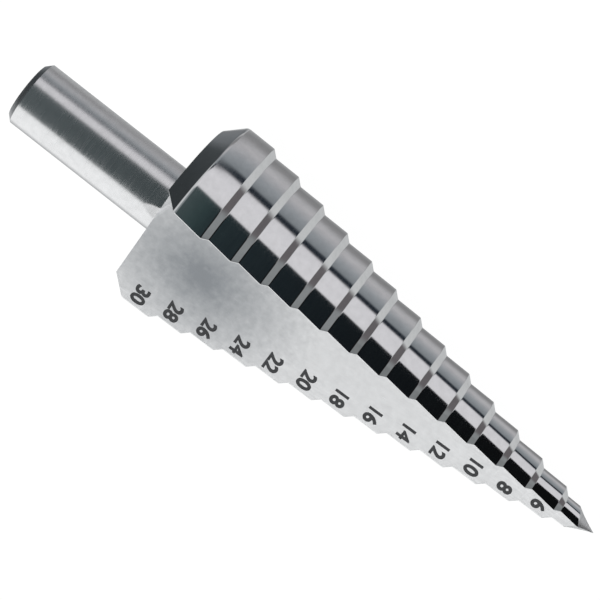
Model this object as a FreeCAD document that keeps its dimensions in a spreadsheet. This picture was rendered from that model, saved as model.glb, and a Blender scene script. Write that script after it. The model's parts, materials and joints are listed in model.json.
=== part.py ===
# Step drill for sheet metal, 4 to 30 mm in 2 mm steps, with a plain round shank and two straight flutes.
# One solid of ground high-speed steel. Lengths are in millimetres and angles in degrees.
import FreeCAD, Part
import math
import os
from itertools import combinations
from FreeCAD import Placement, Rotation, Vector
from Sketcher import Constraint

doc = FreeCAD.newDocument("step_drill")

# Driving dimensions
# Heights run along the drill's axis, from its tip at 0 towards the shank.
# A relief says how far a land falls back in a quarter turn behind its cutting edge.
SIZES = [
    ("shank_diameter", 10.0, "round shank held in the chuck"),
    ("shank_length", 25.0, "from the head's back face to the shank's end"),
    ("shank_chamfer", 0.8, "45 degree chamfer on the shank's end"),
    ("shank_root", 5.0, "depth of the shank's root inside the head"),
    ("smallest_diameter", 4.0, "first step, behind the point"),
    ("diameter_step", 2.0, "growth from each step to the next"),
    ("step_count", 14, "number of steps"),
    ("step_pitch", 5.0, "length of each step along the axis"),
    ("second_step_height", 6.45, "front corner of the second step"),
    ("cone_angle", 45.0, "angle between the axis and the cones that join the steps"),
    ("rim_length", 4.95, "cylinder of the largest step"),
    ("back_chamfer", 2.6, "45 degree chamfer behind the largest step"),
    ("point_height", 2.4, "tip to the first step's front corner at the cutting edge"),
    ("point_relief", 1.2, "fall of the point behind its lip"),
    ("axial_relief", 0.4, "fall of each step's cone towards the shank"),
    ("radial_relief", 0.08, "fall of each step's cylinder towards the axis"),
    ("flute_angle", 88.0, "angle between a flute's rake face and its floor"),
    ("flute_root_radius", 0.4, "rounding between the rake face and the floor"),
    ("rake_lean", 5.7, "angle between the rake face and the axis"),
    ("floor_lean", 3.49, "angle between the flute's floor and the axis"),
    ("half_web", 0.35, "axis to the flute's floor at the tip"),
    ("core_radius", 0.3, "solid middle that joins the two lands at the tip"),
]
sheet = doc.addObject("Spreadsheet::Sheet", "sizes")
for row, (alias, value, meaning) in enumerate(SIZES, start=1):
    sheet.set(f"A{row}", str(value))
    sheet.setAlias(f"A{row}", alias)
    sheet.set(f"B{row}", meaning)
doc.recompute()


def size(alias):
    """Value of a driving dimension."""
    return float(getattr(sheet, alias))


# Sizes worked out from the driving ones
step_count = int(size("step_count"))
step_radii = [(size("smallest_diameter") + k * size("diameter_step")) / 2 for k in range(step_count)]
cone_length = size("diameter_step") / 2 / math.tan(math.radians(size("cone_angle")))
corner_heights = [size("second_step_height") + (k - 1) * size("step_pitch") for k in range(step_count)]
corner_heights[0] = size("point_height")
rim_height = corner_heights[-1] + size("rim_length")
head_length = rim_height + size("back_chamfer")
half_flute = size("flute_angle") / 2
rake_slope = math.tan(math.radians(size("rake_lean")))

# The same as expressions, for the sketches
FLUTE_LEAD_IN = 1.0
HALF_FLUTE = "(sizes.flute_angle / 2)"
RAKE_SLOPE = "tan(sizes.rake_lean)"
FLOOR_SLOPE = "tan(sizes.floor_lean)"
HEAD_LENGTH = (
    "(sizes.second_step_height + (sizes.step_count - 2) * sizes.step_pitch"
    " + sizes.rim_length + sizes.back_chamfer)"
)
TOTAL_LENGTH = f"({HEAD_LENGTH} + sizes.shank_length)"
SHANK_RADIUS = "(sizes.shank_diameter / 2)"
POINT_SLOPE = "(sizes.point_height / (sizes.smallest_diameter / 2))"
ROOT_RAKE = f"(-{FLUTE_LEAD_IN} * {RAKE_SLOPE})"
ROOT_FLOOR = f"(sizes.half_web - {FLUTE_LEAD_IN} * {FLOOR_SLOPE})"
FLUTE_SIDE = "(sizes.smallest_diameter + sizes.step_count * sizes.diameter_step)"
ROOT_TANGENT = f"(sizes.flute_root_radius / tan{HALF_FLUTE})"

SECTION_COUNT = 13
HALF_TURN = 180.0
QUARTER_TURN = 90.0
BORE_SHARE = 0.7
DOWNWARD_SHARE = 0.5
CONTACT_TOLERANCE = 1e-6


def cutting_edge_angle(radius, height):
    """Angle of the first flute's cutting edge about the axis, at a radius and a height."""
    return half_flute + math.degrees(math.asin(height * rake_slope / radius))


def land_section(angle):
    """Half section of the head at an angle about the axis, with every step's relief there."""
    bore = size("core_radius") * BORE_SHARE
    outline = []
    foot = 0.0
    for radius, height in zip(step_radii, corner_heights):
        behind = (angle - cutting_edge_angle(radius, height)) / QUARTER_TURN
        corner = radius - behind * size("radial_relief")
        if outline:
            height += behind * size("axial_relief")
            outline.append((foot, height - cone_length))
        else:
            height += behind * size("point_relief")
            outline.append((bore, height * bore / corner))
        outline.append((corner, height))
        foot = corner
    outline.append((foot, rim_height))
    outline.append((foot - size("back_chamfer"), head_length))
    outline.append((bore, head_length))
    turn = math.radians(angle)
    points = [Vector(r * math.cos(turn), r * math.sin(turn), z) for r, z in outline]
    return Part.makePolygon(points + points[:1])


def relieved_head():
    """Both lands and the web between them, each half a loft through sections about the axis.

    A half starts along the first flute's rake face, inside the flute, and so ahead of its cutting edge.
    """
    section_turn = HALF_TURN / (SECTION_COUNT - 1)
    sections = [land_section(half_flute + i * section_turn) for i in range(SECTION_COUNT)]
    half = Part.makeLoft(sections, True, False)
    other_half = half.copy()
    other_half.rotate(Vector(), Vector(0, 0, 1), HALF_TURN)
    return half.fuse(other_half)


def number_of(expression):
    """Value of an expression that reads the sheet."""
    return float(sheet.evalExpression(expression.replace("sizes.", "")))


def bind(sketch, value, kind, *places):
    """Add a constraint to a sketch, its value bound to an expression."""
    index = sketch.addConstraint(Constraint(kind, *places, number_of(value)))
    sketch.setExpression(f"Constraints[{index}]", value)


def add_line(sketch, start, end):
    """Straight line between two points given as pairs of expressions, held at its start."""
    ends = [Vector(number_of(x), number_of(y), 0) for x, y in (start, end)]
    line = sketch.addGeometry(Part.LineSegment(*ends), False)
    for kind, value in zip(("DistanceX", "DistanceY"), start):
        if value == "0":
            axis = -2 if kind == "DistanceX" else -1
            sketch.addConstraint(Constraint("PointOnObject", line, 1, axis))
        else:
            bind(sketch, value, kind, -1, 1, line, 1)
    return line


def make_shank():
    """Round shank, and the thin core that runs on from it to the tip, turned from one outline."""
    body = doc.addObject("PartDesign::Body", "shank_and_core")
    plane = next(item for item in body.Origin.OriginFeatures if item.Role == "XZ_Plane")
    sketch = body.newObject("Sketcher::SketchObject", "shank_outline")
    sketch.AttachmentSupport = [(plane, "")]
    sketch.MapMode = "FlatFace"
    root_height = f"({HEAD_LENGTH} - sizes.shank_root)"
    outline = [
        ("0", "0"),
        ("sizes.core_radius", f"(sizes.core_radius * {POINT_SLOPE})"),
        ("sizes.core_radius", root_height),
        (SHANK_RADIUS, root_height),
        (SHANK_RADIUS, f"({TOTAL_LENGTH} - sizes.shank_chamfer)"),
        (f"({SHANK_RADIUS} - sizes.shank_chamfer)", TOTAL_LENGTH),
        ("0", TOTAL_LENGTH),
    ]
    lines = [add_line(sketch, a, b) for a, b in zip(outline, outline[1:] + outline[:1])]
    for line, following in zip(lines, lines[1:] + lines[:1]):
        sketch.addConstraint(Constraint("Coincident", line, 2, following, 1))
    turned = body.newObject("PartDesign::Revolution", "turned_shank")
    turned.Profile = sketch
    turned.ReferenceAxis = (sketch, ["V_Axis"])
    turned.Angle = 2 * HALF_TURN
    return body


def make_flute(name, side):
    """V-shaped cutter of one flute, which leans outwards towards the shank.

    Its section has its sharp corner at the sketch's origin and opens along the sketch's X axis.
    side is 1 for the flute that opens towards +X, and -1 for the one opposite.
    """
    sketch = doc.addObject("Sketcher::SketchObject", f"{name}_section")
    sketch.Placement = Placement(Vector(0, 0, -FLUTE_LEAD_IN), Rotation(Vector(0, 0, 1), 90 - 90 * side))
    root_x = f"({ROOT_FLOOR} - {ROOT_RAKE}) / (2 * sin{HALF_FLUTE})"
    root_y = f"({ROOT_FLOOR} + {ROOT_RAKE}) / (2 * cos{HALF_FLUTE})"
    sketch.setExpression("Placement.Base.x", f"{side} * {root_x}")
    sketch.setExpression("Placement.Base.y", f"{side} * {root_y}")
    tangent_x = f"({ROOT_TANGENT} * cos{HALF_FLUTE})"
    tangent_y = f"({ROOT_TANGENT} * sin{HALF_FLUTE})"
    far_x = f"({FLUTE_SIDE} * cos{HALF_FLUTE})"
    far_y = f"({FLUTE_SIDE} * sin{HALF_FLUTE})"
    rake_line = add_line(sketch, (far_x, far_y), (tangent_x, tangent_y))
    floor_line = add_line(sketch, (tangent_x, f"-{tangent_y}"), (far_x, f"-{far_y}"))
    mouth_line = add_line(sketch, (far_x, f"-{far_y}"), (far_x, far_y))
    bind(sketch, tangent_x, "DistanceX", -1, 1, rake_line, 2)
    bind(sketch, tangent_y, "DistanceY", -1, 1, rake_line, 2)
    root = Part.Circle(
        Vector(number_of(f"(sizes.flute_root_radius / sin{HALF_FLUTE})"), 0, 0),
        Vector(0, 0, 1),
        size("flute_root_radius"),
    )
    first_angle = math.radians(QUARTER_TURN + half_flute)
    arc = sketch.addGeometry(Part.ArcOfCircle(root, first_angle, 2 * math.pi - first_angle), False)
    bind(sketch, "sizes.flute_root_radius", "Radius", arc)
    sketch.addConstraint(Constraint("Coincident", rake_line, 2, arc, 1))
    sketch.addConstraint(Constraint("Coincident", arc, 2, floor_line, 1))
    sketch.addConstraint(Constraint("Coincident", floor_line, 2, mouth_line, 1))
    sketch.addConstraint(Constraint("Coincident", mouth_line, 2, rake_line, 1))

    flute = doc.addObject("Part::Extrusion", name)
    flute.Base = sketch
    flute.DirMode = "Custom"
    flute.Dir = Vector(0, 0, 1)
    flute.setExpression("Dir.x", f"{side} * ({FLOOR_SLOPE} - {RAKE_SLOPE}) / (2 * sin{HALF_FLUTE})")
    flute.setExpression("Dir.y", f"{side} * ({FLOOR_SLOPE} + {RAKE_SLOPE}) / (2 * cos{HALF_FLUTE})")
    flute.setExpression("LengthFwd", TOTAL_LENGTH)
    flute.Solid = True
    return flute


def holds(corners, point, normal):
    """Whether a point lies over the triangle of three corners, seen along the triangle's normal."""
    sides = zip(corners, corners[1:] + corners[:1])
    turns = [(b - a).cross(point - a).dot(normal) for a, b in sides]
    return min(turns) > 0 or max(turns) < 0


def resting_rotation(solid, downwards):
    """Turn that lays a solid on the three corners that bear it, on the side that faces downwards.

    The corners are those of the flute's two edges on that side, which a flat surface bridges. It passes
    through no corner, and the centre of mass lies over the triangle of the three that it touches.
    """
    centre = solid.CenterOfMass
    corners = [v.Point for v in solid.Vertexes]
    corners = [p for p in corners if p.dot(downwards) > DOWNWARD_SHARE * math.hypot(p.x, p.y)]
    floor_normal = None
    for a, b, c in combinations(corners, 3):
        normal = (b - a).cross(c - a)
        if normal.Length < CONTACT_TOLERANCE:
            continue
        normal.normalize()
        if normal.dot(downwards) < 0:
            normal = -normal
        if all((p - a).dot(normal) < CONTACT_TOLERANCE for p in corners) and holds([a, b, c], centre, normal):
            floor_normal = normal
    level = Rotation(floor_normal, Vector(0, 0, -1))
    axis = level.multVec(Vector(0, 0, 1))
    heading = Rotation(Vector(0, 0, 1), -math.degrees(math.atan2(axis.y, axis.x)))
    return heading.multiply(level)


# The drill standing on its axis, with the tip at the origin and the first flute open towards +X
head = doc.addObject("Part::Feature", "relieved_head")
head.Shape = relieved_head()
blank = doc.addObject("Part::MultiFuse", "blank")
blank.Shapes = [head, make_shank()]
first_cut = doc.addObject("Part::Cut", "one_flute")
first_cut.Base = blank
first_cut.Tool = make_flute("first_flute", 1)
drill = doc.addObject("Part::Cut", "step_drill")
drill.Base = first_cut
drill.Tool = make_flute("second_flute", -1)
drill.Label = "step_drill"
doc.recompute()

# The drill lying on the edges of its second flute, which leaves the first flute open upwards
floor_distance = size("half_web") + corner_heights[-1] * math.tan(math.radians(size("floor_lean")))
floor_edge_angle = math.degrees(math.asin(floor_distance / step_radii[-1])) - half_flute
mouth_angle = (floor_edge_angle + cutting_edge_angle(step_radii[-1], corner_heights[-1])) / 2
mouth = Vector(math.cos(math.radians(mouth_angle)), math.sin(math.radians(mouth_angle)), 0)
turn = resting_rotation(drill.Shape.Solids[0], -mouth)
drill.Placement = Placement(Vector(), turn)
doc.recompute()
box = drill.Shape.optimalBoundingBox(False, False)
drill.Placement = Placement(Vector(-box.Center.x, -box.Center.y, -box.ZMin), turn)
doc.recompute()

for item in doc.Objects:
    if {"Invalid", "Error"} & set(item.State):
        raise RuntimeError(f"{item.Name} failed: {item.State}")
if drill.Shape.isNull() or not drill.Shape.isValid() or len(drill.Shape.Solids) != 1:
    raise RuntimeError("the drill is not one valid solid")

os.makedirs("parts", exist_ok=True)
drill.Shape.exportStep(f"parts/{drill.Label}.step")
print(f"volume {drill.Shape.Volume:.1f} mm3, faces {len(drill.Shape.Faces)}")
print(f"box {box.XLength:.2f} x {box.YLength:.2f} x {box.ZLength:.2f} mm")
print(f"placement {drill.Placement}")
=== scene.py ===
# Step drill for sheet metal, 4 to 30 mm, ground from one piece of high-speed steel, lying on a white table.
# Lengths are in metres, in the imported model's frame.
import json
import math
from functools import partial

import bmesh
import bpy
from mathutils import Matrix, Vector


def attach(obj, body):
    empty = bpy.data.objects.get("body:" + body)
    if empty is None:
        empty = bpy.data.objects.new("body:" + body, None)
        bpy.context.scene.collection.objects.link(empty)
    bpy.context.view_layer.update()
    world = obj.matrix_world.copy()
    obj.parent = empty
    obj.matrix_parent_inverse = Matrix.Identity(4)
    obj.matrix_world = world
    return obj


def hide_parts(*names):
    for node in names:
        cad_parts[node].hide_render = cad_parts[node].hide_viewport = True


bl_info = {
    "name": "Step Drill",
    "version": (1, 0, 0),
    "blender": (4, 5, 0),
    "location": "View3D > Sidebar > Step Drill",
    "description": "Builds a fluted step drill with etched sizes, its steel finishes and a small studio",
    "category": "Object",
}

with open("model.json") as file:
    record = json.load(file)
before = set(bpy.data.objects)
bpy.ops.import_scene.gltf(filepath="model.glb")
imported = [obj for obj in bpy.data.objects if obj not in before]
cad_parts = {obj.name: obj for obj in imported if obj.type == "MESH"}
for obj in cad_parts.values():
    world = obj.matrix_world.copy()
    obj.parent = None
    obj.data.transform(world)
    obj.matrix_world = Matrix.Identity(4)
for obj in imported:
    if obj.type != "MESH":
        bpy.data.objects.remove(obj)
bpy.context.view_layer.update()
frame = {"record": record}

MM = 0.001
NODE = "step_drill"

# Where the drill lies
# Its axis is that of its chuck mount. The roll is that of the first flute's middle above the level.
shank_mount = next(m for m in frame["record"]["mounts"] if m["name"] == "shank")
AXIS = Vector(shank_mount["axis"]).normalized()
MOUNT_HEIGHT = 86.1 * MM
TIP = Vector(shank_mount["pos_m"]) - MOUNT_HEIGHT * AXIS
FLUTE_ROLL = math.radians(68.504)

QUARTER = math.pi / 2

# Columns round a land, a flute's root and the shank, rows along the flutes' run-out on the shank, and the
# largest share of the radius that a honed edge takes near the tip
ARC_COLUMNS = 36
FILLET_COLUMNS = 5
SHANK_COLUMNS = 160
RUNOUT_ROWS = 31
EDGE_SHARE = 0.1

# Points closer than this are one point
TOUCHING = 0.0005 * MM

# The shank starts this deep in the head, and the flutes have run out on it this far behind the head.
# Inside the head its flats keep a little below the flutes' floors.
SHANK_ROOT = 3.0 * MM
ROOT_CLEARANCE = 0.05 * MM

# End of the chisel edge, from the axis, how much rounder the rim's rear corner is than a step's, and from
# which turn on an edge looks sharp
CHISEL = 0.45 * MM
REAR_ROUNDER = 3.5
SHARP_TURN = math.radians(30)

# Kinds of node that the trees use most
MATH = "ShaderNodeMath"
VECTOR_MATH = "ShaderNodeVectorMath"
COMBINE = "ShaderNodeCombineXYZ"
MAP_RANGE = "ShaderNodeMapRange"
MAPPING = "ShaderNodeMapping"
NOISE = "ShaderNodeTexNoise"
MIX = "ShaderNodeMix"
COMPARE = "FunctionNodeCompare"
MESH_LINE = "GeometryNodeMeshLine"
TO_CURVE = "GeometryNodeMeshToCurve"
SET_POSITION = "GeometryNodeSetPosition"
TRANSFORM = "GeometryNodeTransform"
FLIP = "GeometryNodeFlipFaces"
REALIZE = "GeometryNodeRealizeInstances"
JOIN = "GeometryNodeJoinGeometry"
SET_MATERIAL = "GeometryNodeSetMaterial"


def drill_place():
    """Matrix from the drill's own axes to where it lies.

    They have the tip at their origin, Z toward the shank and X out of the numbered flute.
    """
    level = Vector((0, 1, 0))
    flute = level * math.cos(FLUTE_ROLL) + AXIS.cross(level) * math.sin(FLUTE_ROLL)
    turned = Matrix((flute, AXIS.cross(flute), AXIS)).transposed()
    return Matrix.Translation(TIP) @ turned.to_4x4()


def linear(colour):
    """Linear RGB of an sRGB hex colour."""
    channels = [int(colour[i : i + 2], 16) / 255 for i in (0, 2, 4)]
    return tuple(c / 12.92 if c <= 0.04045 else ((c + 0.055) / 1.055) ** 2.4 for c in channels)


def set_inputs(tree, node, inputs):
    """Give a node's inputs, by their names or in their order, what they take.

    That is a value, a socket, a node that gives its first output in use, or a list where several join.
    """
    pairs = inputs.items() if isinstance(inputs, dict) else enumerate(inputs)
    for place, value in pairs:
        for one in value if isinstance(value, list) else [value]:
            if isinstance(one, bpy.types.Node):
                one = next(output for output in one.outputs if output.enabled)
            if isinstance(one, bpy.types.NodeSocket):
                tree.links.new(one, node.inputs[place])
            else:
                node.inputs[place].default_value = one


def add_node(tree, kind, inputs=None, operation=None, **settings):
    """Add a node with its inputs, its operation and its other settings."""
    node = tree.nodes.new(kind)
    if operation is not None:
        node.operation = operation
    for name, value in settings.items():
        setattr(node, name, value)
    set_inputs(tree, node, inputs or {})
    return node


class StepDrillSizes(bpy.types.PropertyGroup):
    """Sizes of the drill that a user would change"""

    smallest_diameter: bpy.props.FloatProperty(
        name="Smallest diameter", description="First step, behind the point", default=4.0 * MM, unit="LENGTH"
    )
    diameter_step: bpy.props.FloatProperty(
        name="Diameter step", description="Growth from step to step", default=2.0 * MM, unit="LENGTH"
    )
    step_count: bpy.props.IntProperty(name="Steps", description="Number of cutting steps", default=14, min=3)
    step_pitch: bpy.props.FloatProperty(
        name="Step pitch", description="Length of each step along the axis", default=5.0 * MM, unit="LENGTH"
    )
    second_step: bpy.props.FloatProperty(
        name="Second step", description="Tip to its front corner", default=6.45 * MM, unit="LENGTH"
    )
    point_height: bpy.props.FloatProperty(
        name="Point", description="Tip to the first step's front corner", default=2.4 * MM, unit="LENGTH"
    )
    rim_length: bpy.props.FloatProperty(
        name="Rim", description="Cylinder of the largest step", default=4.95 * MM, unit="LENGTH"
    )
    back_chamfer: bpy.props.FloatProperty(
        name="Back chamfer", description="Chamfer behind the largest step", default=2.6 * MM, unit="LENGTH"
    )
    shank_diameter: bpy.props.FloatProperty(
        name="Shank diameter", description="Round shank", default=10.0 * MM, unit="LENGTH"
    )
    shank_length: bpy.props.FloatProperty(
        name="Shank length", description="Behind the head's back face", default=25.0 * MM, unit="LENGTH"
    )
    shank_chamfer: bpy.props.FloatProperty(
        name="Shank chamfer", description="Chamfer on the shank's end", default=0.8 * MM, unit="LENGTH"
    )
    flute_angle: bpy.props.FloatProperty(
        name="Flute angle", description="Rake face to floor", default=math.radians(88), subtype="ANGLE"
    )
    flute_root: bpy.props.FloatProperty(
        name="Flute root", description="Rounding at the flute's bottom", default=0.4 * MM, unit="LENGTH"
    )
    rake_lean: bpy.props.FloatProperty(
        name="Rake lean", description="Rake face to the axis", default=math.radians(5.7), subtype="ANGLE"
    )
    floor_lean: bpy.props.FloatProperty(
        name="Floor lean", description="Floor to the axis", default=math.radians(3.49), subtype="ANGLE"
    )
    half_web: bpy.props.FloatProperty(
        name="Half web", description="Axis to the flute's floor at the tip", default=0.35 * MM, unit="LENGTH"
    )
    point_relief: bpy.props.FloatProperty(
        name="Point relief", description="Its fall in a quarter turn", default=1.2 * MM, unit="LENGTH"
    )
    axial_relief: bpy.props.FloatProperty(
        name="Axial relief", description="A cone's fall in a quarter turn", default=0.4 * MM, unit="LENGTH"
    )
    radial_relief: bpy.props.FloatProperty(
        name="Radial relief", description="A land's fall in a quarter turn", default=0.08 * MM, unit="LENGTH"
    )
    corner_rounding: bpy.props.FloatProperty(
        name="Corner rounding", description="Each step's rounded corner", default=0.1 * MM, unit="LENGTH"
    )
    edge_break: bpy.props.FloatProperty(
        name="Edge break", description="Width of the honed cutting edge", default=0.16 * MM, unit="LENGTH"
    )
    digit_size: bpy.props.FloatProperty(
        name="Digit size", description="Type size of the etched numbers", default=3.0 * MM, unit="LENGTH"
    )


class StepDrillColours(bpy.types.PropertyGroup):
    """Colours of the drill's finishes and of the table"""

    steel: bpy.props.FloatVectorProperty(
        name="Steel", description="Bright ground high-speed steel", default=linear("c9cacb"), subtype="COLOR"
    )
    flute: bpy.props.FloatVectorProperty(
        name="Flute", description="Ground steel of the flutes", default=linear("d3d4d5"), subtype="COLOR"
    )
    # Painted reflection: a darker, bluish grey on the numbered floor that stands in for a dark card the
    # floor reflects
    painted_reflection: bpy.props.FloatVectorProperty(
        name="Painted reflection", description="Film on the numbered floor", default=linear("8c9094"), subtype="COLOR"
    )
    etching: bpy.props.FloatVectorProperty(
        name="Etching", description="Oxide of the etched numbers", default=linear("424345"), subtype="COLOR"
    )
    table: bpy.props.FloatVectorProperty(
        name="Table", description="White paper under the drill", default=linear("f4f4f4"), subtype="COLOR"
    )


def outline_corners(sizes):
    """Corners of the head's outline from the tip to its back face: radius, height, relief and rounding."""
    cone = sizes.diameter_step / 2
    rounding = sizes.corner_rounding
    corners = [(0, 0, 0, 0)]
    radius = sizes.smallest_diameter / 2
    share = CHISEL / radius
    corners.append((CHISEL, sizes.point_height * share, sizes.point_relief * share, 0))
    corners.append((radius, sizes.point_height, sizes.point_relief, rounding))
    for step in range(1, sizes.step_count):
        height = sizes.second_step + (step - 1) * sizes.step_pitch
        corners.append((radius, height - cone, sizes.axial_relief, rounding))
        radius += cone
        corners.append((radius, height, sizes.axial_relief, rounding))
    height += sizes.rim_length
    corners.append((radius, height, 0, REAR_ROUNDER * rounding))
    corners.append((radius - sizes.back_chamfer, height + sizes.back_chamfer, 0, 0))
    return corners


def rounded_outline(corners):
    """The corners as points of one line, with three points in place of each rounded corner."""
    points = []
    for i, (radius, height, relief, rounding) in enumerate(corners):
        here = Vector((radius, relief, height))
        if rounding == 0:
            points.append(here)
            continue
        before = Vector((corners[i - 1][0], relief, corners[i - 1][1])) - here
        after = Vector((corners[i + 1][0], relief, corners[i + 1][1])) - here
        start = here + before.normalized() * rounding
        end = here + after.normalized() * rounding
        points += [start, (start + end + 2 * here) / 4, end]
    return points


def new_object(name, data):
    """Object with its data, in the scene."""
    obj = bpy.data.objects.new(name, data)
    bpy.context.scene.collection.objects.link(obj)
    return obj


def outline_object(name, points):
    """Object whose mesh is an open line through the points."""
    mesh = bpy.data.meshes.new(name)
    mesh.from_pydata(points, [(i, i + 1) for i in range(len(points) - 1)], [])
    return new_object(name, mesh)


def applied(obj, modifier):
    """Keep what an object's modifier makes as the object's plain mesh, without the modifier."""
    depsgraph = bpy.context.evaluated_depsgraph_get()
    mesh = bpy.data.meshes.new_from_object(obj.evaluated_get(depsgraph))
    obj.modifiers.remove(modifier)
    obj.data = mesh
    return mesh


def named_inputs(tree, values):
    """Give a node tree an input of the name of each value, and return the outputs of their node."""
    tree.interface.new_socket("Geometry", in_out="INPUT", socket_type="NodeSocketGeometry")
    for name in values:
        tree.interface.new_socket(name, in_out="INPUT", socket_type="NodeSocketFloat")
    tree.interface.new_socket("Geometry", in_out="OUTPUT", socket_type="NodeSocketGeometry")
    return tree.nodes.new("NodeGroupInput").outputs


def baked(obj, tree, values):
    """Run a node tree on an object with its inputs set, and keep the result as the object's plain mesh."""
    modifier = obj.modifiers.new(tree.name, "NODES")
    modifier.node_group = tree
    for item in tree.interface.items_tree:
        if item.in_out == "INPUT" and item.name in values:
            modifier[item.identifier] = values[item.name]
    return applied(obj, modifier)


def smooth_ground_faces(obj):
    """Shade the round faces smooth. The large face beside a small rounded corner stays true."""
    obj.data.shade_smooth()
    obj.data.set_sharp_from_angle(angle=SHARP_TURN)
    modifier = obj.modifiers.new("faces by their area", "WEIGHTED_NORMAL")
    modifier.keep_sharp = True
    applied(obj, modifier)


def captured(tree, geometry, kind, field):
    """Keep a field on a geometry, and return the node that gives the geometry and then the field."""
    capture = add_node(tree, "GeometryNodeCaptureAttribute")
    capture.capture_items.new(kind, "kept")
    set_inputs(tree, capture, (geometry, tree.nodes.new(field)))
    return capture


def welded(tree, pieces):
    """The pieces as one, with points that touch made one point."""
    joined = add_node(tree, JOIN, {0: pieces})
    return add_node(tree, "GeometryNodeMergeByDistance", {"Geometry": joined, "Distance": TOUCHING})


def floor_distance(tree, given, height):
    """How far a flute's floor is from the axis at a height."""
    return add_node(tree, MATH, (height, given["Floor slope"], given["Half web"]), "MULTIPLY_ADD")


def meeting_turn(tree, distance, radius):
    """Angle at which a circle about the axis meets a flat face at a distance from the axis."""
    share = add_node(tree, MATH, (distance, radius), "DIVIDE", use_clamp=True)
    return add_node(tree, MATH, {0: share}, "ARCSINE")


def turned_point(tree, turn, radius, height=0.0):
    """Point at a radius and a height, turned about the axis."""
    point = add_node(tree, COMBINE, {0: radius, 2: height})
    turned = {"Vector": point, "Angle": turn}
    return add_node(tree, "ShaderNodeVectorRotate", turned, rotation_type="Z_AXIS")


def relieved(tree, given, outline, turn):
    """Radius and height of the outline that turn behind its cutting edge."""
    radius, relief, height = outline
    behind = add_node(tree, MATH, (turn, QUARTER), "DIVIDE")
    lower = add_node(tree, MATH, (relief, behind, height), "MULTIPLY_ADD")
    fall = add_node(tree, MATH, (given["Radial relief"], behind), "MULTIPLY")
    inner = add_node(tree, MATH, (radius, fall), "SUBTRACT")
    inner = add_node(tree, MATH, (inner, 0.0), "MAXIMUM")
    return inner, lower


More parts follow.
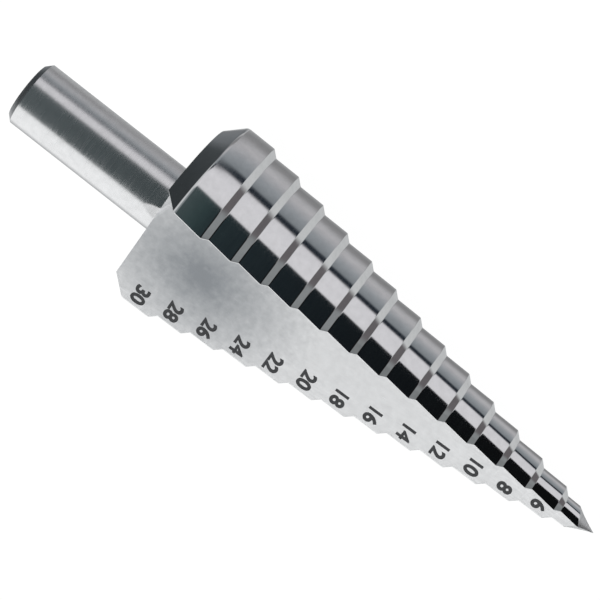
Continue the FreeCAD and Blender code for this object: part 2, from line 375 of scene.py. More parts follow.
def grooved_head_tree(values, materials):
    """Tree that carries the head's outline round the axis, with two leaning V flutes and relieved lands.

    It makes half a turn, from one cutting edge round the land and through the next flute, and turns a
    copy of it half round. Columns run round the axis, and each has the whole outline along it.
    """
    tree = bpy.data.node_groups.new("relieved lands and flutes", "GeometryNodeTree")
    given = named_inputs(tree, values)
    half_flute = given["Half flute"]
    back_height = given["Head length"]
    side = given["Shank radius"]
    add = partial(add_node, tree)
    last = ARC_COLUMNS + FILLET_COLUMNS + 3

    # The outline, and a straight row of columns to carry it
    line = add(TO_CURVE, {0: given["Geometry"]})
    outline = captured(tree, line, "VECTOR", "GeometryNodeInputPosition")
    row = add(TO_CURVE, {0: add(MESH_LINE, {"Count": last + 1})})
    column = captured(tree, row, "FLOAT", "GeometryNodeInputIndex")
    sheet = add("GeometryNodeCurveToMesh", (column, outline))
    place = add("ShaderNodeSeparateXYZ", {0: outline.outputs[1]})
    radius = place.outputs[0]
    height = place.outputs[2]
    number = column.outputs[1]

    # Where the rake face and the next flute's floor meet the outline
    rake = add(MATH, (height, given["Rake slope"]), "MULTIPLY")
    turn = meeting_turn(tree, rake, radius)
    start = add(MATH, (turn, half_flute), "ADD")
    opposite = add(MATH, (math.pi, half_flute), "SUBTRACT")
    floor = floor_distance(tree, given, height)
    turn = meeting_turn(tree, floor, radius)
    rough_heel = add(MATH, (turn, opposite), "ADD")
    behind = add(MATH, (rough_heel, start), "SUBTRACT")
    heel_radius, heel_height = relieved(tree, given, place.outputs, behind)
    turn = meeting_turn(tree, floor_distance(tree, given, heel_height), heel_radius)
    heel = add(MATH, (turn, opposite), "ADD")

    # The land, from just behind its cutting edge to just before its heel
    edge = add(MATH, (radius, EDGE_SHARE), "MULTIPLY")
    edge = add(MATH, (edge, given["Edge break"]), "MINIMUM")
    edge_turn = add(MATH, (edge, radius), "DIVIDE")
    from_turn = add(MATH, (start, edge_turn), "ADD")
    to_turn = add(MATH, (heel, edge_turn), "SUBTRACT")
    angle = add(MAP_RANGE, {0: number, 2: float(ARC_COLUMNS), 3: from_turn, 4: to_turn})
    behind = add(MATH, (angle, start), "SUBTRACT")
    land = turned_point(tree, angle, *relieved(tree, given, place.outputs, behind))

    # The heel's edge on the next flute's floor, drawn in a little along the floor
    corner = turned_point(tree, heel, heel_radius, heel_height)
    inward = add(MATH, (edge, -1.0), "MULTIPLY")
    along_floor = turned_point(tree, opposite, inward)
    floor_edge = add(VECTOR_MATH, (corner, along_floor), "ADD")

    # The next cutting edge on its rake face, drawn in a little along that face
    half_round = add(MATH, (start, math.pi), "ADD")
    corner = turned_point(tree, half_round, radius, height)
    rake_direction = add(MATH, (math.pi, half_flute), "ADD")
    along_rake = turned_point(tree, rake_direction, inward)
    rake_edge = add(VECTOR_MATH, (corner, along_rake), "ADD")

    # The rounded root between the two faces, which never passes the outline near the tip
    sine = add(MATH, {0: half_flute}, "SINE")
    cosine = add(MATH, {0: half_flute}, "COSINE")
    root_x = add(MATH, (rake, floor), "SUBTRACT")
    root_x = add(MATH, (root_x, sine), "DIVIDE")
    root_x = add(MATH, (root_x, 0.5), "MULTIPLY")
    root_y = add(MATH, (rake, floor), "ADD")
    root_y = add(MATH, (root_y, cosine), "DIVIDE")
    root_y = add(MATH, (root_y, -0.5), "MULTIPLY")
    root = add(COMBINE, (root_x, root_y))
    reach = add(VECTOR_MATH, {0: root}, "LENGTH")
    share = add(MATH, (radius, reach), "DIVIDE", use_clamp=True)
    root = add(VECTOR_MATH, {0: root, "Scale": share}, "SCALE")
    room = add(MATH, (radius, floor), "SUBTRACT")
    room = add(MATH, (room, 0.0), "MAXIMUM")
    room = add(MATH, (room, 0.5), "MULTIPLY")
    rounding = add(MATH, (room, given["Flute root"]), "MINIMUM")
    setback = add(MATH, (rounding, sine), "DIVIDE")
    setback = add(MATH, (setback, -1.0), "MULTIPLY")
    setback = add(COMBINE, {0: setback, 2: height})
    centre = add(VECTOR_MATH, (root, setback), "ADD")
    sweep = add(MATH, (QUARTER, half_flute), "SUBTRACT")
    back_sweep = add(MATH, (sweep, -1.0), "MULTIPLY")
    first = ARC_COLUMNS + 2.0
    final = ARC_COLUMNS + FILLET_COLUMNS + 1.0
    fillet_turn = add(MAP_RANGE, (number, first, final, sweep, back_sweep))
    spoke = turned_point(tree, fillet_turn, rounding)
    fillet = add(VECTOR_MATH, (centre, spoke), "ADD")

    # The column beyond the next cutting edge, where the turned copy begins
    closing_turn = add(MATH, (from_turn, math.pi), "ADD")
    closing = turned_point(tree, closing_turn, *relieved(tree, given, place.outputs, edge_turn))

    # Each column takes its own place
    chosen = land
    for first, spot in (
        (ARC_COLUMNS + 0.5, floor_edge),
        (ARC_COLUMNS + 1.5, fillet),
        (ARC_COLUMNS + FILLET_COLUMNS + 1.5, rake_edge),
        (last - 0.5, closing),
    ):
        beyond = add(COMPARE, (number, first), "GREATER_THAN")
        places = {"Switch": beyond, "False": chosen, "True": spot}
        chosen = add("GeometryNodeSwitch", places, input_type="VECTOR")
    half = add(SET_POSITION, {"Geometry": sheet, "Position": chosen})
    half = add(SET_MATERIAL, {"Geometry": half, "Material": materials["land"]})

    # The flute's own faces lie between two honed edges. A face's number is the mean of its columns'.
    after = add(COMPARE, (number, ARC_COLUMNS + 0.6), "GREATER_THAN")
    before = add(COMPARE, (number, last - 0.6), "LESS_THAN")
    in_flute = add("FunctionNodeBooleanMath", (after, before), "AND")
    half = add(SET_MATERIAL, {"Geometry": half, "Selection": in_flute, "Material": materials["flute"]})
    other_half = add(TRANSFORM, {"Geometry": half, "Rotation": (0, 0, math.pi)})
    round_head = welded(tree, [half, other_half])

    # The flat back face, which closes the head
    faces = {2: tree.nodes.new("GeometryNodeInputMeshEdgeNeighbors"), 3: 1}
    open_edge = add(COMPARE, faces, "EQUAL", data_type="INT")
    rim = add(TO_CURVE, {"Mesh": round_head, "Selection": open_edge})
    back = add("GeometryNodeFillCurve", {"Curve": rim}, mode="NGONS")
    lift = add(COMBINE, {2: back_height})
    back = add(TRANSFORM, {"Geometry": back, "Translation": lift})
    back = add(FLIP, {0: back})
    back = add(SET_MATERIAL, {"Geometry": back, "Material": materials["back"]})
    head = welded(tree, [round_head, back])

    # The shank, flattened a little where the flutes run out on it
    sunk = add(MATH, (back_height, SHANK_ROOT), "SUBTRACT")
    full = add(MATH, (back_height, given["Shank length"]), "ADD")
    shoulder = add(MATH, (full, given["Shank chamfer"]), "SUBTRACT")
    reduced = add(MATH, (side, given["Shank chamfer"]), "SUBTRACT")
    runout = add(MATH, (back_height, SHANK_ROOT), "ADD")
    places = ((0.0, sunk), (side, sunk), (side, runout), (side, shoulder), (reduced, full), (0.0, full))
    corners = [add(COMBINE, {0: out, 2: up}) for out, up in places]
    stretches = []
    for begin, end, count in zip(corners, corners[1:], (2, RUNOUT_ROWS, 2, 2, 2)):
        stretch = {"Count": count, "Start Location": begin, "Offset": end}
        stretches.append(add(MESH_LINE, stretch, mode="END_POINTS"))
    line = add(TO_CURVE, {0: welded(tree, stretches)})
    outline = captured(tree, line, "VECTOR", "GeometryNodeInputPosition")
    row = add(TO_CURVE, {0: add(MESH_LINE, {"Count": SHANK_COLUMNS + 1})})
    column = captured(tree, row, "FLOAT", "GeometryNodeInputIndex")
    shank = add("GeometryNodeCurveToMesh", (column, outline))
    turn = add(MATH, (column.outputs[1], 2 * math.pi / SHANK_COLUMNS), "MULTIPLY")
    place = add("ShaderNodeSeparateXYZ", {0: outline.outputs[1]})
    from_floor = add(MATH, (turn, sweep), "SUBTRACT")
    facing = add(MATH, {0: from_floor}, "COSINE")
    facing = add(MATH, {0: facing}, "ABSOLUTE")
    floor = floor_distance(tree, given, place.outputs[2])
    inside = add(MATH, (place.outputs[2], back_height), "LESS_THAN")
    inside = add(MATH, (inside, ROOT_CLEARANCE), "MULTIPLY")
    floor = add(MATH, (floor, inside), "SUBTRACT")
    flat = add(MATH, (floor, facing), "DIVIDE")
    flat = add(MATH, (flat, place.outputs[0]), "MINIMUM")
    spot = turned_point(tree, turn, flat, place.outputs[2])
    shank = add(SET_POSITION, {"Geometry": shank, "Position": spot})
    shank = add(SET_MATERIAL, {"Geometry": welded(tree, [shank]), "Material": materials["shank"]})

    whole = add("GeometryNodeMeshBoolean", {"Mesh 2": [head, shank]}, "UNION", solver="EXACT")
    real = add(REALIZE, {0: whole})

    # The point, which is ground by itself
    spot = add("ShaderNodeSeparateXYZ", {0: tree.nodes.new("GeometryNodeInputPosition")})
    on_point = add(COMPARE, (spot.outputs[2], given["Point height"]), "LESS_THAN")
    finished = add(SET_MATERIAL, {"Geometry": real, "Selection": on_point, "Material": materials["point"]})
    add("NodeGroupOutput", {0: finished})
    return tree


# The etched numbers
# The first is this far behind its step's front corner, each next one a little further behind its own, and
# all this far inside the floor's edge. The etching spreads each stroke to either side. The digits stand
# closer than usual but don't touch. The marks are this thick, half of it proud of the floor. A loop up to
# this long, which an outline makes where its spread crosses itself, is mended.
NUMBER_BEHIND = 2.0 * MM
NUMBER_GROWTH = 0.09 * MM
NUMBER_MARGIN = 0.7 * MM
NUMBER_SPREAD = 0.12 * MM
NUMBER_SPACING = 0.98
ETCH_DEPTH = 0.02 * MM
LARGEST_LOOP = 0.8 * MM


def numbers_tree(values, material, face_turn, outward, normal):
    """Tree that repeats the etched diameters along a flute's floor, one on each step from the second on."""
    tree = bpy.data.node_groups.new("etched diameters", "GeometryNodeTree")
    given = named_inputs(tree, values)
    add = partial(add_node, tree)
    begin = tree.nodes.new("GeometryNodeRepeatInput")
    finish = tree.nodes.new("GeometryNodeRepeatOutput")
    begin.pair_with_output(finish)
    set_inputs(tree, begin, {"Iterations": given["Count"]})
    turn = begin.outputs["Iteration"]

    # The number itself, in millimetres
    growth = add(MATH, (turn, given["Diameter step"]), "MULTIPLY")
    diameter = add(MATH, (growth, given["First diameter"]), "ADD")
    number = add(MATH, (diameter, MM), "DIVIDE")
    number = add(MATH, {0: number}, "ROUND")
    text = add("FunctionNodeValueToString", {"Value": number})
    letters = add(
        "GeometryNodeStringToCurves",
        {"String": text, "Size": given["Digit size"], "Character Spacing": NUMBER_SPACING},
        align_x="RIGHT",
        align_y="MIDDLE",
    )
    letters = add(REALIZE, {0: letters})

    # Its strokes, which the etching spreads a little to either side
    letters = add("GeometryNodeResampleCurve", {"Curve": letters}, mode="EVALUATED")
    tangent = tree.nodes.new("GeometryNodeInputTangent")
    sideways = add(VECTOR_MATH, (tangent, (0, 0, 1)), "CROSS_PRODUCT")
    sideways = add(VECTOR_MATH, {0: sideways, "Scale": given["Spread"]}, "SCALE")
    letters = add(SET_POSITION, {"Geometry": letters, "Offset": sideways})
    faces = add("GeometryNodeFillCurve", {"Curve": letters})
    skin = add(
        "GeometryNodeExtrudeMesh", {"Mesh": faces, "Offset Scale": given["Etch depth"], "Individual": False}
    )
    closed = welded(tree, [skin, add(FLIP, {0: faces})])

    # Its place on the floor, a margin inside the floor's edge at that height
    rise = add(MATH, (given["Step pitch"], given["Height growth"]), "ADD")
    height = add(MATH, (turn, rise, given["First height"]), "MULTIPLY_ADD")
    floor = floor_distance(tree, given, height)
    radius = add(MATH, (diameter, 0.5), "MULTIPLY")
    square = add(MATH, (radius, radius), "MULTIPLY")
    floor_square = add(MATH, (floor, floor), "MULTIPLY")
    reach = add(MATH, (square, floor_square), "SUBTRACT")
    reach = add(MATH, {0: reach}, "SQRT")
    reach = add(MATH, (reach, given["Edge margin"]), "SUBTRACT")
    across = add(VECTOR_MATH, {0: outward, "Scale": reach}, "SCALE")
    upward = add(VECTOR_MATH, {0: normal, "Scale": floor}, "SCALE")
    spot = add(VECTOR_MATH, (across, upward), "ADD")
    lift = add(COMBINE, {2: height})
    spot = add(VECTOR_MATH, (spot, lift), "ADD")
    sink = add(MATH, (given["Etch depth"], -0.5), "MULTIPLY")
    sink = add(VECTOR_MATH, {0: normal, "Scale": sink}, "SCALE")
    spot = add(VECTOR_MATH, (spot, sink), "ADD")
    mark = add(TRANSFORM, {"Geometry": closed, "Translation": spot, "Rotation": face_turn})
    gathered = add(JOIN, {0: [begin.outputs["Geometry"], mark]})
    set_inputs(tree, finish, {"Geometry": gathered})
    real = add(REALIZE, {0: finish.outputs["Geometry"]})
    real = add(SET_MATERIAL, {"Geometry": real, "Material": material})
    add("NodeGroupOutput", {0: real})
    return tree


# Ground steel
# A duller patch's size, how fine it is and how much darker, then the size of a grinding scratch along the
# drill's X, Y and Z, and its noise. The wheel runs along the flutes, and round the lands and the shank. Real
# scratches are some hundredths of a millimetre wide, and are drawn coarser so that they show.
PATCH = 1.0 * MM
PATCH_DETAIL = 3.0
DULL = 0.9
FLUTE_GRAIN = (0.14 * MM, 0.14 * MM, 9 * MM)
ROUND_GRAIN = (5 * MM, 5 * MM, 0.2 * MM)
SCRATCHES = {"Scale": 1.0, "Detail": 3.0, "Roughness": 0.6}
FLUTE_GROOVE = 0.003 * MM

# The lands are finely ground and show the studio nearly as a mirror does. The flutes have a soft, even
# sheen with streaks along them, the point is a dull grey, the shank has soft-edged stripes of light along
# it, and the back of the head is dull with faint rings.
LAND_ROUGHNESS = 0.09
FLUTE_ROUGHNESS = 0.34
POINT_ROUGHNESS = 0.45
SHANK_ROUGHNESS = 0.24
BACK_ROUGHNESS = 0.3

# How much smoother and rougher the scratches make the steel, and the noise that goes with either
SMOOTHER = 0.8
ROUGHER = 1.25
CALM = 0.25
BUSY = 0.75

# Middle of the painted reflection on the numbered floor, a darker colour that stands in for a dark card the
# floor reflects, and how far it reaches, in the drill's own axes, the shares of that reach where it begins
# to thin and where it has gone, and how ragged it is
PAINTED_REFLECTION_PLACE = (5.7 * MM, 0.5 * MM, 64 * MM)
PAINTED_REFLECTION_REACH = (7 * MM, 7 * MM, 11 * MM)
PAINTED_REFLECTION_FULL = 0.4
PAINTED_REFLECTION_GONE = 1.9
PAINTED_REFLECTION_RAGGED = 0.5

# Turned steel's rings, drawn coarser than the tool's real feed so that they show
RING = 0.3 * MM
RING_DETAIL = 2.0
RING_DEPTH = 0.001 * MM

# Uneven patches in the etched oxide, and how much darker and lighter they are. The numbers look dark grey
# and matt, slightly cloudy, and a little of the steel shines through.
OXIDE_PATCH = 0.4 * MM
OXIDE_DETAIL = 2.0
OXIDE_DARKER = 0.7
OXIDE_LIGHTER = 1.6
OXIDE = {"Metallic": 0.4, "Roughness": 0.5}


def new_material(name):
    """Material with a node tree of its own, its shader and its coordinates in the drill's own axes."""
    material = bpy.data.materials.new(name)
    material.use_nodes = True
    tree = material.node_tree
    coordinates = tree.nodes.new("ShaderNodeTexCoord").outputs["Object"]
    place = {"Vector": coordinates, "Location": TIP, "Rotation": drill_place().to_euler()}
    drill_axes = add_node(tree, MAPPING, place, vector_type="TEXTURE")
    return material, tree, tree.nodes["Principled BSDF"], drill_axes


def patchy(tree, drill_axes, size, detail, colour, darker, lighter):
    """Noise in patches of a size, and the colour, which it makes darker and lighter."""
    patches = add_node(tree, NOISE, {"Vector": drill_axes, "Scale": 1 / size, "Detail": detail})
    dark = (*(c * darker for c in colour), 1)
    light = (*(c * lighter for c in colour), 1)
    return patches, add_node(tree, MIX, {"Factor": patches, "A": dark, "B": light}, data_type="RGBA")


def ground_steel(name, colour, roughness, grain, groove=0.0, painted_reflection=None):
    """Bright steel as a grinding wheel leaves it.

    The scratches spread a reflection across themselves, and the steel is a little duller in patches.
    groove is how deep they are, and painted_reflection the colour of a painted dark reflection on the
    numbered floor, by its back, in place of a dark card that the floor reflects.
    """
    material, tree, shader, drill_axes = new_material(name)
    add = partial(add_node, tree)
    patches, tint = patchy(tree, drill_axes, PATCH, PATCH_DETAIL, colour, DULL, 1 / DULL)
    along = add(MAPPING, {"Vector": drill_axes, "Scale": grain}, vector_type="TEXTURE")
    lines = add(NOISE, {"Vector": along, **SCRATCHES})
    spread = add(MAP_RANGE, (lines, CALM, BUSY, roughness * SMOOTHER, roughness * ROUGHER))
    set_inputs(tree, shader, {"Metallic": 1, "Roughness": spread})
    if groove > 0:
        bump = add("ShaderNodeBump", {"Height": lines, "Distance": groove})
        set_inputs(tree, shader, {"Normal": bump})
    # Painted reflection: a darker colour mixed into the steel near the floor's back, in place of a dark card
    # it reflects
    if painted_reflection is not None:
        centred = {"Vector": drill_axes, "Location": PAINTED_REFLECTION_PLACE, "Scale": PAINTED_REFLECTION_REACH}
        away = add(MAPPING, centred, vector_type="TEXTURE")
        away = add(VECTOR_MATH, {0: away}, "LENGTH")
        away = add(MATH, (patches, PAINTED_REFLECTION_RAGGED, away), "MULTIPLY_ADD")
        covered = add(MAP_RANGE, (away, PAINTED_REFLECTION_FULL, PAINTED_REFLECTION_GONE, 1.0, 0.0))
        tint = add(MIX, {"Factor": covered, "A": tint, "B": (*painted_reflection, 1)}, data_type="RGBA")
    set_inputs(tree, shader, {"Base Color": tint})
    return material


def turned_steel(name, colour, roughness):
    """Steel faced on a lathe, with fine rings about the drill's axis."""
    material, tree, shader, drill_axes = new_material(name)
    flat = add_node(tree, VECTOR_MATH, (drill_axes, (1, 1, 0)), "MULTIPLY")
    radius = add_node(tree, VECTOR_MATH, {0: flat}, "LENGTH")
    fine = {"W": radius, "Scale": 1 / RING, "Detail": RING_DETAIL}
    rings = add_node(tree, NOISE, fine, noise_dimensions="1D")
    bump = add_node(tree, "ShaderNodeBump", {"Height": rings, "Distance": RING_DEPTH})
    finish = {"Base Color": (*colour, 1), "Metallic": 1, "Roughness": roughness, "Normal": bump}
    set_inputs(tree, shader, finish)
    return material


def etched_steel(name, colour):
    """Steel darkened by a marking current, under a thin matt oxide that is a little uneven."""
    material, tree, shader, drill_axes = new_material(name)
    tint = patchy(tree, drill_axes, OXIDE_PATCH, OXIDE_DETAIL, colour, OXIDE_DARKER, OXIDE_LIGHTER)[1]
    set_inputs(tree, shader, {"Base Color": tint, **OXIDE})
    return material


def walls_to_next(edge, wall):
    """Upright faces from one beside a pinched edge to the next pinched edge, and that edge."""
    walls = []
    upright = edge
    while True:
        walls.append(wall)
        loop = next(loop for loop in wall.loops if loop.edge == upright)
        upright = loop.link_loop_next.link_loop_next.edge
        if upright == edge or len(upright.link_faces) != 2:
            return walls, upright
        wall = next(face for face in upright.link_faces if face != wall)


def mend_crossed_strokes(mesh):
    """Fill or take away the tiny loops that a stroke's outline makes where its spread crosses itself.

    Such a loop hangs on one upright edge that four walls share, or lies between two such edges.
    """
    work = bmesh.new()
    work.from_mesh(mesh)
    for edge in [edge for edge in work.edges if len(edge.link_faces) > 2]:
        if not edge.is_valid or len(edge.link_faces) < 4:
            continue
        loops = {}
        for wall in edge.link_faces:
            walls, end = walls_to_next(edge, wall)
            if sum(face.calc_area() for face in walls) < LARGEST_LOOP * edge.calc_length():
                loops.setdefault(end, []).append(walls)
        for sides in loops.values():
            if len(sides) < 2:
                continue

            # The walls of a block face outwards, and all of it goes. A hole's walls go, and it is filled.
            ring = {face for walls in sides for face in walls}
            corners = {vert for face in ring for vert in face.verts}
            middle = sum((vert.co for vert in corners), Vector()) / len(corners)
            outward = sum((face.calc_center_median() - middle).dot(face.normal) for face in ring)
            block = {face for vert in corners for face in vert.link_faces if corners.issuperset(face.verts)}
            bmesh.ops.delete(work, geom=list(block if outward > 0 else ring), context="FACES")
            break
    open_edges = [edge for edge in work.edges if len(edge.link_faces) == 1]
    bmesh.ops.holes_fill(work, edges=open_edges, sides=0)
    loose = [edge for edge in work.edges if not edge.link_faces]
    bmesh.ops.delete(work, geom=loose, context="EDGES")
    work.to_mesh(mesh)
    work.free()


class STEPDRILL_OT_body(bpy.types.Operator):
    """Turn, flute and grind the drill's body"""

    bl_idname = "stepdrill.body"
    bl_label = "Drill body"

    def execute(self, context):
        sizes = context.scene.step_drill_sizes
        colours = context.scene.step_drill_colours
        steel = colours.steel
        # The flutes' finish carries the painted dark reflection on the numbered floor
        flute_finish = (colours.flute, FLUTE_ROUGHNESS, FLUTE_GRAIN, FLUTE_GROOVE, colours.painted_reflection)
        materials = {
            "land": ground_steel("ground high-speed steel, lands", steel, LAND_ROUGHNESS, ROUND_GRAIN),
            "flute": ground_steel("ground high-speed steel, flutes", *flute_finish),
            "point": ground_steel("ground high-speed steel, point", steel, POINT_ROUGHNESS, ROUND_GRAIN),
            "shank": ground_steel("centreless ground steel, shank", steel, SHANK_ROUGHNESS, ROUND_GRAIN),
            "back": turned_steel("faced steel, back of the head", steel, BACK_ROUGHNESS),
        }
        outline = outline_object("drill_body", rounded_outline(outline_corners(sizes)))
        head_length = sizes.second_step + (sizes.step_count - 2) * sizes.step_pitch
        head_length += sizes.rim_length + sizes.back_chamfer
        values = {
            "Half flute": sizes.flute_angle / 2,
            "Flute root": sizes.flute_root,
            "Rake slope": math.tan(sizes.rake_lean),
            "Floor slope": math.tan(sizes.floor_lean),
            "Half web": sizes.half_web,
            "Radial relief": sizes.radial_relief,
            "Edge break": sizes.edge_break,
            "Point height": sizes.point_height,
            "Head length": head_length,
            "Shank radius": sizes.shank_diameter / 2,
            "Shank length": sizes.shank_length,
            "Shank chamfer": sizes.shank_chamfer,
        }
        mesh = baked(outline, grooved_head_tree(values, materials), values)
        if not mesh.polygons:
            raise RuntimeError("the drill's body came out empty")
        mesh.transform(drill_place())
        smooth_ground_faces(outline)
        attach(outline, "root")
        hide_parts(NODE)
        return {"FINISHED"}


class STEPDRILL_OT_numbers(bpy.types.Operator):
    """Etch the step diameters on the upper flute's floor"""

    bl_idname = "stepdrill.numbers"
    bl_label = "Etched numbers"

    def execute(self, context):
        sizes = context.scene.step_drill_sizes
        colours = context.scene.step_drill_colours
        half_flute = sizes.flute_angle / 2
        floor_slope = math.tan(sizes.floor_lean)
        outward = Vector((math.cos(half_flute), -math.sin(half_flute), 0))
        across = Vector((math.sin(half_flute), math.cos(half_flute), 0))
        along = (across * floor_slope + Vector((0, 0, 1))).normalized()
        normal = outward.cross(-along)
        face_turn = Matrix((outward, -along, normal)).transposed().to_euler()
        material = etched_steel("etched steel, numbers", colours.etching)
        values = {
            "First diameter": sizes.smallest_diameter + sizes.diameter_step,
            "Diameter step": sizes.diameter_step,
            "Count": float(sizes.step_count - 1),
            "First height": sizes.second_step + NUMBER_BEHIND,
            "Step pitch": sizes.step_pitch,
            "Height growth": NUMBER_GROWTH,
            "Floor slope": floor_slope,
            "Half web": sizes.half_web,
            "Edge margin": NUMBER_MARGIN,
            "Digit size": sizes.digit_size,
            "Spread": NUMBER_SPREAD,
            "Etch depth": ETCH_DEPTH,
        }
        tree = numbers_tree(values, material, face_turn, outward, across)

        # A short line, which the tree replaces with the numbers
        marks = outline_object("step_numbers", [(0, 0, 0), (0, 0, MM)])
        mesh = baked(marks, tree, values)
        if not mesh.polygons:
            raise RuntimeError("the etched numbers came out empty")
        mend_crossed_strokes(mesh)
        mesh.transform(drill_place())
        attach(marks, "root")
        return {"FINISHED"}


# Where the camera stands
# It looks across the drill's axis from the side named by VIEW_ROUND, an angle about the axis from the
# first flute's middle, and a little from the tip's side. In the picture the axis runs up to the left from
# the tip, and its point at VIEW_HEIGHT is VIEW_CENTRE, in pixels, right of the middle and above it.
VIEW_ROUND = math.radians(76)
VIEW_TILT = math.radians(2.4)
VIEW_DISTANCE = 478 * MM
VIEW_HEIGHT = 50 * MM
AXIS_IN_PICTURE = (-0.7874, 0.6165)
PIXELS_PER_METRE = 7260
PICTURE_SIZE = 600
VIEW_CENTRE = (6.7, -8.6)
NEAREST_SEEN = 10 * MM


def add_camera():
    """Camera at the photograph's viewpoint."""
    toward = Vector((math.cos(VIEW_ROUND), math.sin(VIEW_ROUND), 0))
    outward = toward * math.cos(VIEW_TILT) - Vector((0, 0, math.sin(VIEW_TILT)))
    axis = Vector((0, 0, math.cos(VIEW_TILT))) + toward * math.sin(VIEW_TILT)
    aside = axis.cross(outward)
    right = axis * AXIS_IN_PICTURE[0] + aside * AXIS_IN_PICTURE[1]
    up = outward.cross(right)
    offset = (right * VIEW_CENTRE[0] + up * VIEW_CENTRE[1]) / PIXELS_PER_METRE
    position = Vector((0, 0, VIEW_HEIGHT)) + outward * VIEW_DISTANCE - offset
    stand = Matrix((right, up, outward)).transposed().to_4x4()
    data = bpy.data.cameras.new("camera")
    data.lens = PIXELS_PER_METRE * VIEW_DISTANCE * data.sensor_width / PICTURE_SIZE
    data.clip_start = NEAREST_SEEN
    camera = new_object("camera", data)
    camera.matrix_world = drill_place() @ Matrix.Translation(position) @ stand
    bpy.context.scene.camera = camera


# The studio as the drill sees it, before SOFTBOX_GAIN makes it brighter
# ROUND_THE_DRILL runs round the drill's axis, in degrees from the camera's side and down over the table: the
# white table, a lamp's dark frame and its strip, and the room behind, then a wide softbox overhead.
# ALONG_THE_DRILL runs from the tip's end of the axis, at -1, to the shank's end, at 1, and OPEN_END is the
# shank's end in front of the drill and below it. CLOTH_ALONG is a black cloth on the camera's side, from
# the tip toward the shank, where more light falls on it. Many tones began as readings of how light the
# steel is in the photograph, divided by what it reflects, and were then changed until the render agreed.
ROUND_THE_DRILL = (
    (-180, "b0b1b2"),
    (-165, "a4a5a6"),
    (-150, "b8b9ba"),
    (-130, "ffffff"),
    (-30, "ffffff"),
    (0, "e2e0e2"),
    (63, "dfdde0"),
    (66.5, "20272f"),
    (72.5, "20272f"),
    (76, "82878b"),
    (90, "989ca0"),
    (110, "bcbabc"),
    (118, "b4b3b5"),
    (130, "8f8e8f"),
    (140, "848485"),
    (150, "929293"),
    (160, "b8b8b9"),
    (180, "b0b1b2"),
)
ALONG_THE_DRILL = (
    (-1.0, "8d9091"),
    (-0.968, "8d9091"),
    (-0.955, "6a6668"),
    (-0.85, "6a6668"),
    (-0.81, "d0d1d1"),
    (0.0, "b4b5b6"),
    (0.2, "727375"),
    (0.45, "727578"),
    (0.6, "6c6f72"),
    (0.72, "464a4c"),
    (1.0, "363a3c"),
)
CLOTH_ALONG = (
    (-0.03, "0e0f10"),
    (0.0, "121518"),
    (0.032, "171d21"),
    (0.064, "232b30"),
    (0.085, "304343"),
    (0.126, "50585a"),
    (0.4, "8a9092"),
)
OPEN_END = "d0d1d2"

# The cloth's two edges in degrees and how soft they are. From SLANT_FROM on, its lower edge hangs askew, by
# a share of the angle that changes between two places along the axis.
CLOTH_EDGES = (-58.0, 30.0)
CLOTH_FRAY = 1.5
SLANT_FROM = -20.0
SLANT_PLACES = (-0.145, -0.02)
SLANT_SHARES = (0.5, 0.0)

# From this angle on, the strip and the room are narrower as the shank sees them, which is between two
# places along the axis
NARROW_FROM = 30.0
NARROW_PLACES = (0.09, 0.12)
NARROW_SHARE = 0.3

# The ends take over between two places along the axis. The cloth hides more of them, by these lengths at
# the tip and the shank, and behind the drill, between two angles, they come closer.
END_PLACES = (0.5, 0.62)
CLOTH_HIDES = (-0.38, -0.1)
BEHIND_ANGLES = (125.0, 140.0)
CLOSER_BEHIND = 0.34

# Where the shank's end opens, as shares of the way toward the camera and down, and where that end begins
OPEN_IN_FRONT = (0.1, 0.3)
OPEN_BELOW = (-0.4, -0.47)
SHANK_SIDE = (-0.05, 0.05)
SOFTBOX_GAIN = 1.35


def filled_ramp(tree, position, stops):
    """Ramp of hex colours from its first stop's place to its last one's, read at a position."""
    low = stops[0][0]
    high = stops[-1][0]
    share = add_node(tree, MAP_RANGE, (position, low, high))
    ramp = add_node(tree, "ShaderNodeValToRGB", {0: share})
    elements = ramp.color_ramp.elements
    while len(elements) < len(stops):
        elements.new(0.5)

    # All places come first, because a stop that is moved changes its order
    for element, (at, _) in zip(elements, stops):
        element.position = (at - low) / (high - low)
    for element, (_, colour) in zip(elements, stops):
        element.color = (*linear(colour), 1)
    return ramp


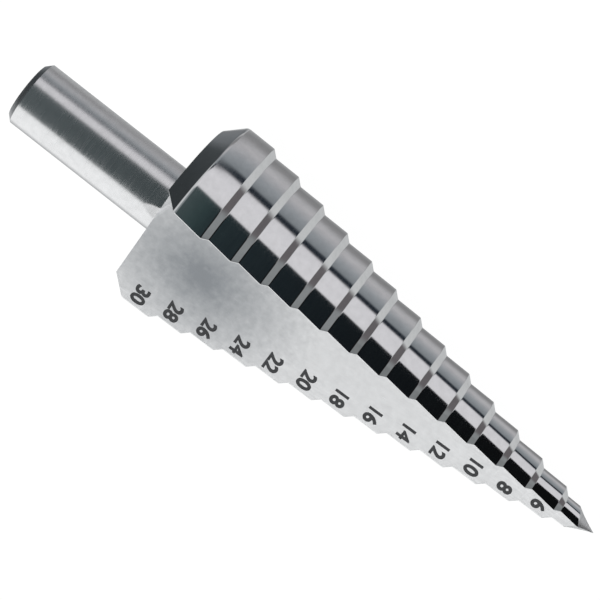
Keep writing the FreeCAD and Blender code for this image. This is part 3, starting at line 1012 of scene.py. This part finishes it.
def studio_world():
    """White to the camera, and to the steel a studio of a softbox, black cloth and a white table."""
    world = bpy.data.worlds.new("studio")
    world.use_nodes = True
    tree = world.node_tree
    add = partial(add_node, tree)
    turned = drill_place().to_3x3()
    toward = turned @ Vector((math.cos(VIEW_ROUND), math.sin(VIEW_ROUND), 0))
    aside = turned @ Vector((-math.sin(VIEW_ROUND), math.cos(VIEW_ROUND), 0))
    direction = tree.nodes.new("ShaderNodeTexCoord").outputs["Generated"]
    ways = (toward, aside, AXIS)
    near, side, along = (add(VECTOR_MATH, (direction, way), "DOT_PRODUCT") for way in ways)
    angle = add(MATH, (side, near), "ARCTAN2")
    angle = add(MATH, {0: angle}, "DEGREES")

    # The lamp's strip and the room behind it, narrower as the shank sees them
    upper = add(MATH, (angle, NARROW_FROM), "SUBTRACT")
    upper = add(MATH, (upper, 0.0), "MAXIMUM")
    narrow = add(MAP_RANGE, (along, *NARROW_PLACES, 0.0, NARROW_SHARE))
    squeezed = add(MATH, (upper, narrow, angle), "MULTIPLY_ADD")
    bands = filled_ramp(tree, squeezed, ROUND_THE_DRILL)

    # The cloth, whose lower edge hangs askew
    lower = add(MATH, (angle, SLANT_FROM), "SUBTRACT")
    lower = add(MATH, (lower, 0.0), "MINIMUM")
    slant = add(MAP_RANGE, (along, *SLANT_PLACES, *SLANT_SHARES))
    askew = add(MATH, (lower, slant, angle), "MULTIPLY_ADD")
    middle = add(MATH, (askew, sum(CLOTH_EDGES) / 2), "SUBTRACT")
    middle = add(MATH, {0: middle}, "ABSOLUTE")
    inner = (CLOTH_EDGES[1] - CLOTH_EDGES[0] - CLOTH_FRAY) / 2
    covered = add(MAP_RANGE, (middle, inner, inner + CLOTH_FRAY, 1.0, 0.0))
    cloth = filled_ramp(tree, along, CLOTH_ALONG)
    bands = add(MIX, {"Factor": covered, "A": bands, "B": cloth}, data_type="RGBA")

    # The studio's ends, of which the shank's is open in front and below
    ends = filled_ramp(tree, along, ALONG_THE_DRILL)
    in_front = add(MAP_RANGE, (near, *OPEN_IN_FRONT))
    below = add(MAP_RANGE, (side, *OPEN_BELOW))
    opened = add(MATH, (in_front, below), "MAXIMUM")
    by_shank = add(MAP_RANGE, (along, *SHANK_SIDE))
    opened = add(MATH, (opened, by_shank), "MULTIPLY")
    half_open = {"Factor": opened, "A": ends, "B": (*linear(OPEN_END), 1)}
    ends = add(MIX, half_open, data_type="RGBA")
    hidden = add(MAP_RANGE, (by_shank, 0.0, 1.0, *CLOTH_HIDES))
    toward_end = add(MATH, {0: along}, "ABSOLUTE")
    toward_end = add(MATH, (covered, hidden, toward_end), "MULTIPLY_ADD")
    behind = add(MAP_RANGE, (angle, *BEHIND_ANGLES, 0.0, CLOSER_BEHIND))
    toward_end = add(MATH, (toward_end, behind), "ADD")
    share = add(MAP_RANGE, (toward_end, *END_PLACES))
    studio = add(MIX, {"Factor": share, "A": bands, "B": ends}, data_type="RGBA")
    room = tree.nodes["Background"]
    set_inputs(tree, room, {"Color": studio, "Strength": SOFTBOX_GAIN})
    backdrop = add("ShaderNodeBackground", {"Color": (1, 1, 1, 1)})
    seen = tree.nodes.new("ShaderNodeLightPath").outputs["Is Camera Ray"]
    mix = add("ShaderNodeMixShader", (seen, room, backdrop))
    set_inputs(tree, tree.nodes["World Output"], {0: mix})
    return world


# The table of matt white paper, flat and without gloss
# It lies just under the drill. The camera sees it as the white backdrop, with a little of its shadows.
TABLE_HALF = 2.0
TABLE_DROP = 0.02 * MM
PAPER_ROUGHNESS = 0.9
BACKDROP_WHITE = 1.06
BACKDROP_SHARE = 0.93


class STEPDRILL_OT_stage(bpy.types.Operator):
    """Set the table, the studio light and the camera"""

    bl_idname = "stepdrill.stage"
    bl_label = "Table, light and camera"

    def execute(self, context):
        scene = context.scene
        scene.view_settings.view_transform = "Standard"
        add_camera()

        mesh = bpy.data.meshes.new("table")
        square = ((-1, -1), (1, -1), (1, 1), (-1, 1))
        corners = [(x * TABLE_HALF, y * TABLE_HALF, -TABLE_DROP) for x, y in square]
        mesh.from_pydata(corners, [], [(0, 1, 2, 3)])
        table = new_object("table", mesh)
        material = bpy.data.materials.new("white paper, table")
        material.use_nodes = True
        tree = material.node_tree
        shader = tree.nodes["Principled BSDF"]
        colour = (*scene.step_drill_colours.table, 1)
        paper = {"Base Color": colour, "Roughness": PAPER_ROUGHNESS, "Specular IOR Level": 0.0}
        set_inputs(tree, shader, paper)
        white = add_node(tree, "ShaderNodeEmission", {"Color": (1, 1, 1, 1), "Strength": BACKDROP_WHITE})
        seen = tree.nodes.new("ShaderNodeLightPath").outputs["Is Camera Ray"]
        share = add_node(tree, MATH, (seen, BACKDROP_SHARE), "MULTIPLY")
        mix = add_node(tree, "ShaderNodeMixShader", (share, shader, white))
        set_inputs(tree, tree.nodes["Material Output"], {0: mix})
        mesh.materials.append(material)
        table.visible_glossy = False
        scene.world = studio_world()
        return {"FINISHED"}


class STEPDRILL_PT_panel(bpy.types.Panel):
    """The drill's making, step by step"""

    bl_idname = "STEPDRILL_PT_panel"
    bl_label = "Step Drill"
    bl_space_type = "VIEW_3D"
    bl_region_type = "UI"
    bl_category = "Step Drill"

    def draw(self, context):
        layout = self.layout
        for operator in (STEPDRILL_OT_body, STEPDRILL_OT_numbers, STEPDRILL_OT_stage):
            layout.operator(operator.bl_idname)
        for group in (context.scene.step_drill_sizes, context.scene.step_drill_colours):
            for name in group.__annotations__:
                layout.prop(group, name)


CLASSES = (
    StepDrillSizes,
    StepDrillColours,
    STEPDRILL_OT_body,
    STEPDRILL_OT_numbers,
    STEPDRILL_OT_stage,
    STEPDRILL_PT_panel,
)


def register():
    for item in CLASSES:
        bpy.utils.register_class(item)
    bpy.types.Scene.step_drill_sizes = bpy.props.PointerProperty(type=StepDrillSizes)
    bpy.types.Scene.step_drill_colours = bpy.props.PointerProperty(type=StepDrillColours)


def unregister():
    del bpy.types.Scene.step_drill_colours
    del bpy.types.Scene.step_drill_sizes
    for item in reversed(CLASSES):
        bpy.utils.unregister_class(item)


def main():
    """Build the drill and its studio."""
    register()
    bpy.ops.stepdrill.body()
    bpy.ops.stepdrill.numbers()
    bpy.ops.stepdrill.stage()


if __name__ == "__main__":
    main()
